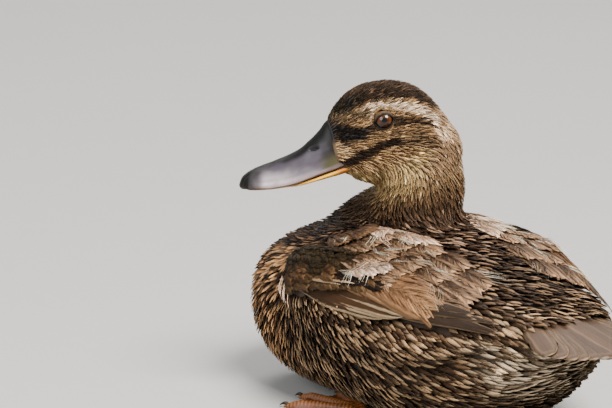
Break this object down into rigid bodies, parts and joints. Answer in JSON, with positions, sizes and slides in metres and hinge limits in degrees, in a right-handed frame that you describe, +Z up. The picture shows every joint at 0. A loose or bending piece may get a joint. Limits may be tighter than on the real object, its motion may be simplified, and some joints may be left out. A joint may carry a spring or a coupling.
{
  "type": "resting hen mallard duck figure",
  "caption": "Life-size still figure of a brown mallard hen resting on its belly, wings folded, feet beside it and head turned over its left shoulder.",
  "frame": {"origin": "on the ground, under the middle of the whole figure's box", "axes": "+Z up, -Y where the bird's breast faces, +Y towards the tail, +X to the bird's left"},
  "size_m": [0.1552, 0.303, 0.1738],
  "materials": {
    "streaked_feather": "matte streaked feathers",
    "brown_feather": "matte scalloped feathers",
    "flight_feather": "soft-sheen flight feathers",
    "bill_horn": "satin horn",
    "lower_bill_horn": "satin horn",
    "eye": "wet gloss",
    "webbed_skin": "scaled skin"
  },
  "bodies": {
    "root": {"head": "streaked_feather", "neck": "streaked_feather", "trunk": "brown_feather", "tail": "flight_feather", "wing_left": "flight_feather", "wing_right": "flight_feather", "bill_upper": "bill_horn", "bill_lower": "lower_bill_horn", "eye_left": "eye", "eye_right": "eye", "leg_left": "webbed_skin", "leg_right": "webbed_skin", "foot_left": "webbed_skin", "foot_right": "webbed_skin"}
  },
  "joints": []
}
